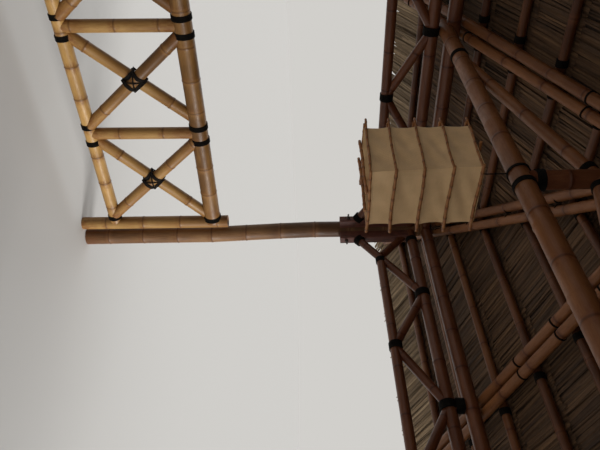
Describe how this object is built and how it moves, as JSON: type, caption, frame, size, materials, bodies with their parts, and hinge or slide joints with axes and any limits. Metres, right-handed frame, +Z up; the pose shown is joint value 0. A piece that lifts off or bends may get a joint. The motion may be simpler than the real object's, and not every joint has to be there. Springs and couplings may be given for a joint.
{
  "type": "bamboo garden gazebo",
  "caption": "Square open garden gazebo: lashed bamboo posts and trusses, crossed railings on two sides, thatched pyramid roof, hanging cloth lantern.",
  "frame": {"origin": "on the ground, in the middle of the square plan", "axes": "+Z up, +Y towards the back side (railing, tie beam's end), +X towards the open right side"},
  "size_m": [4.496, 4.496, 3.2252],
  "materials": {
    "post_bamboo": "weathered brown bamboo culm",
    "truss_bamboo": "aged reddish-brown bamboo",
    "rafter_bamboo": "aged brown bamboo",
    "rail_bamboo": "golden tan bamboo",
    "block_wood": "weathered hardwood",
    "bolt_steel": "dull zinc-plated steel",
    "thatch": "dry grey-brown palm leaf",
    "leaf_cap": "folded dry palm leaf",
    "lantern_twig": "dark stained bamboo twig",
    "lantern_cloth": "unbleached cotton",
    "lantern_cord": "black twisted cord"
  },
  "bodies": {
    "root": {"corner_post_back_right": "post_bamboo", "corner_post_back_left": "post_bamboo", "corner_post_front_left": "post_bamboo", "corner_post_front_right": "post_bamboo", "upper_chord_back": "truss_bamboo", "lower_chord_back": "truss_bamboo", "truss_braces_back": "truss_bamboo", "purlins_back": "rafter_bamboo", "thatch_back": "thatch", "upper_chord_left": "truss_bamboo", "lower_chord_left": "truss_bamboo", "truss_braces_left": "truss_bamboo", "purlins_left": "rafter_bamboo", "thatch_left": "thatch", "upper_chord_front": "truss_bamboo", "lower_chord_front": "truss_bamboo", "truss_braces_front": "truss_bamboo", "purlins_front": "rafter_bamboo", "thatch_front": "thatch", "upper_chord_right": "truss_bamboo", "lower_chord_right": "truss_bamboo", "truss_braces_right": "truss_bamboo", "purlins_right": "rafter_bamboo", "thatch_right": "thatch", "post_blocks": "block_wood", "block_bolts": "bolt_steel", "plate_spacers": "block_wood", "wall_plates": "truss_bamboo", "tie_beam": "rafter_bamboo", "king_post": "truss_bamboo", "king_post_struts": "rafter_bamboo", "hip_rafters": "rafter_bamboo", "common_rafters": "rafter_bamboo", "hip_caps": "leaf_cap", "peak_cap": "leaf_cap", "top_rail_back": "rail_bamboo", "bottom_rail_back": "rail_bamboo", "railing_posts_back": "rail_bamboo", "railing_uprights_back": "rail_bamboo", "railing_braces_rising_back": "rail_bamboo", "railing_braces_falling_back": "rail_bamboo", "top_rail_left": "rail_bamboo", "bottom_rail_left": "rail_bamboo", "railing_posts_left": "rail_bamboo", "railing_uprights_left": "rail_bamboo", "railing_braces_rising_left": "rail_bamboo", "railing_braces_falling_left": "rail_bamboo", "lantern_frame": "lantern_twig", "lantern_cloth": "lantern_cloth", "lantern_cord": "lantern_cord"}
  },
  "joints": []
}
